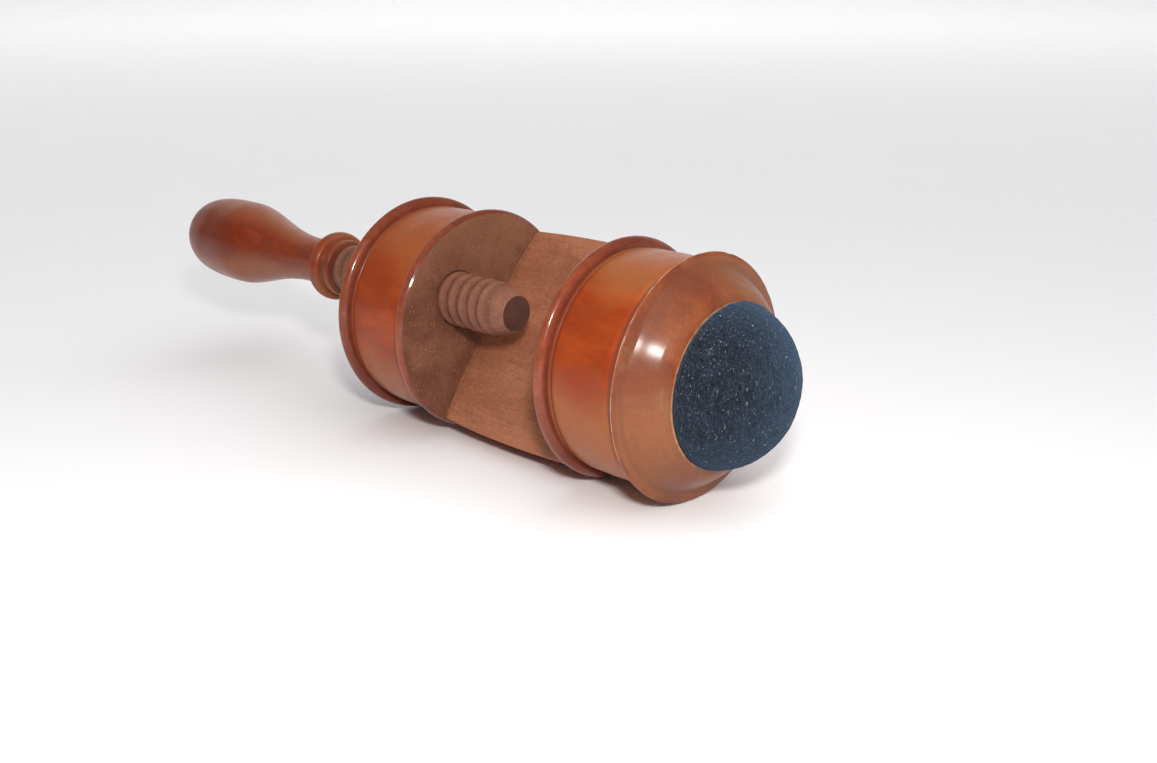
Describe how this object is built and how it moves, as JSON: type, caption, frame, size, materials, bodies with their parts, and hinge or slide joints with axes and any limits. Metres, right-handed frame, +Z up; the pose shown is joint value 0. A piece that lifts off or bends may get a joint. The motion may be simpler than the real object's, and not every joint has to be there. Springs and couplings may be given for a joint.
{
  "type": "sewing clamp with pincushion",
  "caption": "Turned wooden table clamp: a barrel with a jaw notch, a wooden clamping screw with a turned handle, and a velvet pincushion set in its moulded end.",
  "frame": {"origin": "centre of the footprint, on the surface the clamp lies on", "axes": "+X along the barrel towards the pincushion, +Z up with the clamp lying on its side, the jaw notch opening towards -Y and up"},
  "size_m": [0.1872, 0.05, 0.05],
  "materials": {
    "barrel_wood": "french polished",
    "cap_wood": "satin polish, worn",
    "velvet": "cotton velvet pile",
    "calico": "plain weave",
    "bran": "loose bran",
    "card": "matte",
    "thread": "waxed linen",
    "screw_wood": "bare, worn",
    "end_grain": "bare end grain, darkened",
    "handle_wood": "polished"
  },
  "bodies": {
    "clamp": {"clamp_body": "barrel_wood", "pincushion_cap": "cap_wood", "cushion_velvet": "velvet", "cushion_lining": "calico", "cushion_stuffing": "bran", "cushion_card": "card", "gathering_thread": "thread"},
    "nose": {"screw_nose": "end_grain"},
    "screw": {"clamp_screw": "screw_wood", "screw_handle": "handle_wood"}
  },
  "joints": [
    {"name": "screw_advance", "type": "slide", "parent": "clamp", "child": "nose", "axis": [1, 0, 0], "range_m": [-0.0192, 0.01504]},
    {"name": "screw_turn", "type": "hinge", "parent": "nose", "child": "screw", "pos_m": [-0.0103, -0.00904, 0.03178], "axis": [1, 0, 0], "range_deg": [-2162, 1694]}
  ],
  "couplings": [
    {"joint": "screw_turn", "follows": "screw_advance", "rad_per_m": 1963.5}
  ]
}
